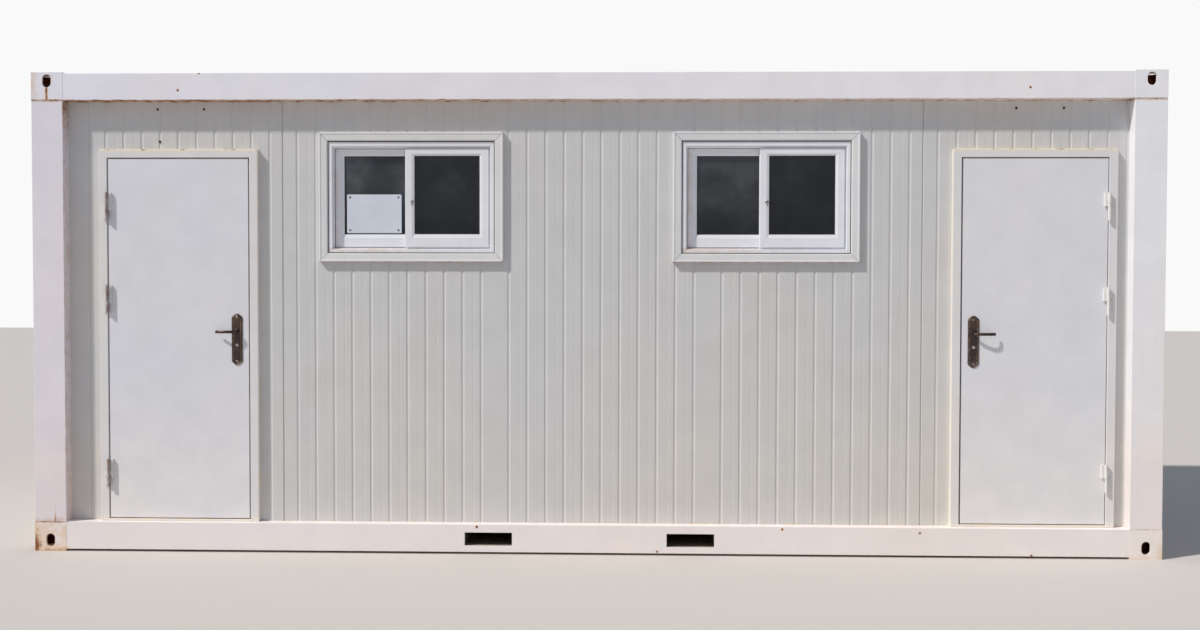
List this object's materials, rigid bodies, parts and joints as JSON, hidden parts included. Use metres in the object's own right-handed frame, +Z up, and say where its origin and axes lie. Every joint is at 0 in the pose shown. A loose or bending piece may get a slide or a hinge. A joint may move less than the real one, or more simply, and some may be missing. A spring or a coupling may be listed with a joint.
{
  "type": "portable site cabin",
  "caption": "Flat-roofed portable steel cabin on corner castings, with two hinged doors, two sliding windows, grooved panel walls and forklift pockets.",
  "frame": {"origin": "centre of the footprint, on the ground under the bottom corner castings", "axes": "+X along the long front to the right, +Y from the door side to the rear, +Z up"},
  "size_m": [6.058, 2.438, 2.591],
  "materials": {
    "frame_paint": "worn light grey enamel with rust at the seams",
    "rail_paint": "dusty light grey enamel, chipped",
    "bare_steel": "dull grey primer",
    "roof_steel": "weathered galvanised sheet",
    "floor_board": "coated plywood",
    "ceiling_paint": "satin white coating",
    "wall_paint": "satin light grey coating",
    "door_frame_paint": "satin grey enamel with rusty edges",
    "door_paint": "satin light grey coating",
    "hinge_paint": "worn grey enamel",
    "bronze": "dark antique bronze",
    "casing_paint": "satin off-white enamel",
    "window_aluminium": "satin powder-coated",
    "window_glass": "clear, slightly dusty"
  },
  "bodies": {
    "cabin": {"top_corner_castings": "frame_paint", "bottom_corner_castings": "frame_paint", "corner_posts": "frame_paint", "front_bottom_rail": "rail_paint", "rear_bottom_rail": "rail_paint", "end_bottom_rails": "rail_paint", "front_top_rail": "frame_paint", "rear_top_rail": "frame_paint", "end_top_rails": "frame_paint", "fork_sleeves": "bare_steel", "floor_joists": "bare_steel", "floor_deck": "floor_board", "ceiling_panel": "ceiling_paint", "roof_beams": "bare_steel", "roof_sheet": "roof_steel", "front_wall_left_strip": "wall_paint", "front_wall_over_left_door": "wall_paint", "front_wall_left_window": "wall_paint", "front_wall_middle": "wall_paint", "front_wall_right_window": "wall_paint", "front_wall_over_right_door": "wall_paint", "front_wall_right_strip": "wall_paint", "rear_wall": "wall_paint", "left_wall": "wall_paint", "right_wall": "wall_paint", "left_door_frame": "door_frame_paint", "left_hinge_pins": "hinge_paint", "right_door_frame": "door_frame_paint", "right_hinge_pins": "hinge_paint", "left_window_casing": "casing_paint", "left_window_frame": "window_aluminium", "left_window_sashes": "window_aluminium", "left_window_glass": "window_glass", "right_window_casing": "casing_paint", "right_window_frame": "window_aluminium", "right_window_sashes": "window_aluminium", "right_window_glass": "window_glass"},
    "left_door": {"left_door_leaf": "door_paint", "left_hinge_sleeves": "hinge_paint", "left_handle_plates": "bronze"},
    "left_handle": {"left_lever": "bronze"},
    "right_door": {"right_door_leaf": "door_paint", "right_hinge_sleeves": "hinge_paint", "right_handle_plates": "bronze"},
    "right_handle": {"right_lever": "bronze"}
  },
  "joints": [
    {"name": "left_door_swing", "type": "hinge", "parent": "cabin", "child": "left_door", "pos_m": [-2.635, -1.187, 1.371], "axis": [0, 0, -1], "range_deg": [0, 110]},
    {"name": "left_handle_turn", "type": "hinge", "parent": "left_door", "child": "left_handle", "pos_m": [-1.9295, -1.1465, 1.194], "axis": [0, -1, 0], "range_deg": [0, 40], "stiffness_Nm_per_rad": 1.5, "springref_deg": -22.92},
    {"name": "right_door_swing", "type": "hinge", "parent": "cabin", "child": "right_door", "pos_m": [2.742, -1.187, 1.371], "axis": [0, 0, 1], "range_deg": [0, 110]},
    {"name": "right_handle_turn", "type": "hinge", "parent": "right_door", "child": "right_handle", "pos_m": [2.0365, -1.1465, 1.194], "axis": [0, 1, 0], "range_deg": [0, 40], "stiffness_Nm_per_rad": 1.5, "springref_deg": -22.92}
  ]
}
